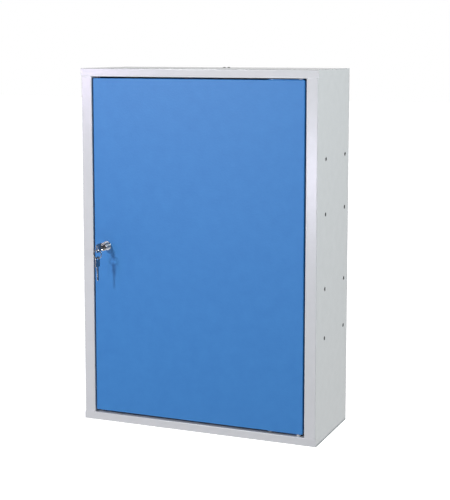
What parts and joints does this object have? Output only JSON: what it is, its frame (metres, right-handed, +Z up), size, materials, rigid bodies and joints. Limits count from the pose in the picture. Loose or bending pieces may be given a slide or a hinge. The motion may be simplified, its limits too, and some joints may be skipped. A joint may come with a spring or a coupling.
{
  "type": "wall-mounted tool cabinet",
  "caption": "Wall-mounted steel tool cabinet with an inset door on pivot hinges, adjustable shelves, and a cam lock holding a key, a split ring and a spare key.",
  "frame": {"origin": "middle of the back face, which lies on the wall: the centre of the wall holes", "axes": "+X to the right as seen from the front, +Y back into the wall, +Z up"},
  "size_m": [0.625, 0.3113, 0.9016],
  "materials": {
    "carcass_paint": "light grey satin powder coat",
    "door_paint": "mid blue satin powder coat",
    "zinc_steel": "bright zinc plate",
    "lock_chrome": "polished chrome plate",
    "key_nickel": "nickel plate on brass",
    "ring_steel": "bright nickel-plated spring steel",
    "clip_plastic": "moulded black nylon",
    "bush_nylon": "natural nylon",
    "buffer_rubber": "matt black rubber"
  },
  "bodies": {
    "carcass": {"left_side": "carcass_paint", "right_side": "carcass_paint", "top_tray": "carcass_paint", "bottom_tray": "carcass_paint", "back_panel": "carcass_paint", "top_caps": "clip_plastic", "upper_shelf": "carcass_paint", "lower_shelf": "carcass_paint", "upper_shelf_clips": "clip_plastic", "lower_shelf_clips": "clip_plastic", "upper_hinge_pin": "zinc_steel", "lower_hinge_pin": "zinc_steel", "door_buffers": "buffer_rubber"},
    "door": {"door_skin": "door_paint", "door_stiffener": "door_paint", "upper_hinge_strap": "door_paint", "lower_hinge_strap": "door_paint", "upper_hinge_bush": "bush_nylon", "lower_hinge_bush": "bush_nylon", "hinge_rivets": "zinc_steel", "lock_body": "lock_chrome", "lock_nut": "zinc_steel"},
    "lock_plug": {"lock_plug": "lock_chrome", "lock_cam": "zinc_steel", "cam_washer": "zinc_steel", "cam_screw": "zinc_steel"},
    "key": {"key_in_lock": "key_nickel"},
    "ring": {"split_ring": "ring_steel"},
    "spare_key": {"spare_key": "key_nickel"}
  },
  "joints": [
    {"name": "door_hinge", "type": "hinge", "parent": "carcass", "child": "door", "pos_m": [0.2665, -0.2395, 0], "axis": [0, 0, 1], "range_deg": [0, 110]},
    {"name": "lock_turn", "type": "hinge", "parent": "door", "child": "lock_plug", "pos_m": [-0.244, -0.2495, 0.005], "axis": [0, 1, 0], "range_deg": [0, 90]},
    {"name": "key_withdraw", "type": "slide", "parent": "lock_plug", "child": "key", "axis": [0, -1, 0], "range_m": [0, 0.029]},
    {"name": "ring_hang", "type": "hinge", "parent": "key", "child": "ring", "pos_m": [-0.244, -0.3003, -0.003], "axis": [0, 1, 0], "range_deg": [-90, 0]},
    {"name": "spare_key_swing", "type": "hinge", "parent": "ring", "child": "spare_key", "pos_m": [-0.244, -0.3003, -0.0203], "axis": [1, 0, 0], "range_deg": [-30, 30]}
  ],
  "couplings": [
    {"joint": "ring_hang", "follows": "lock_turn", "ratio": -1}
  ]
}
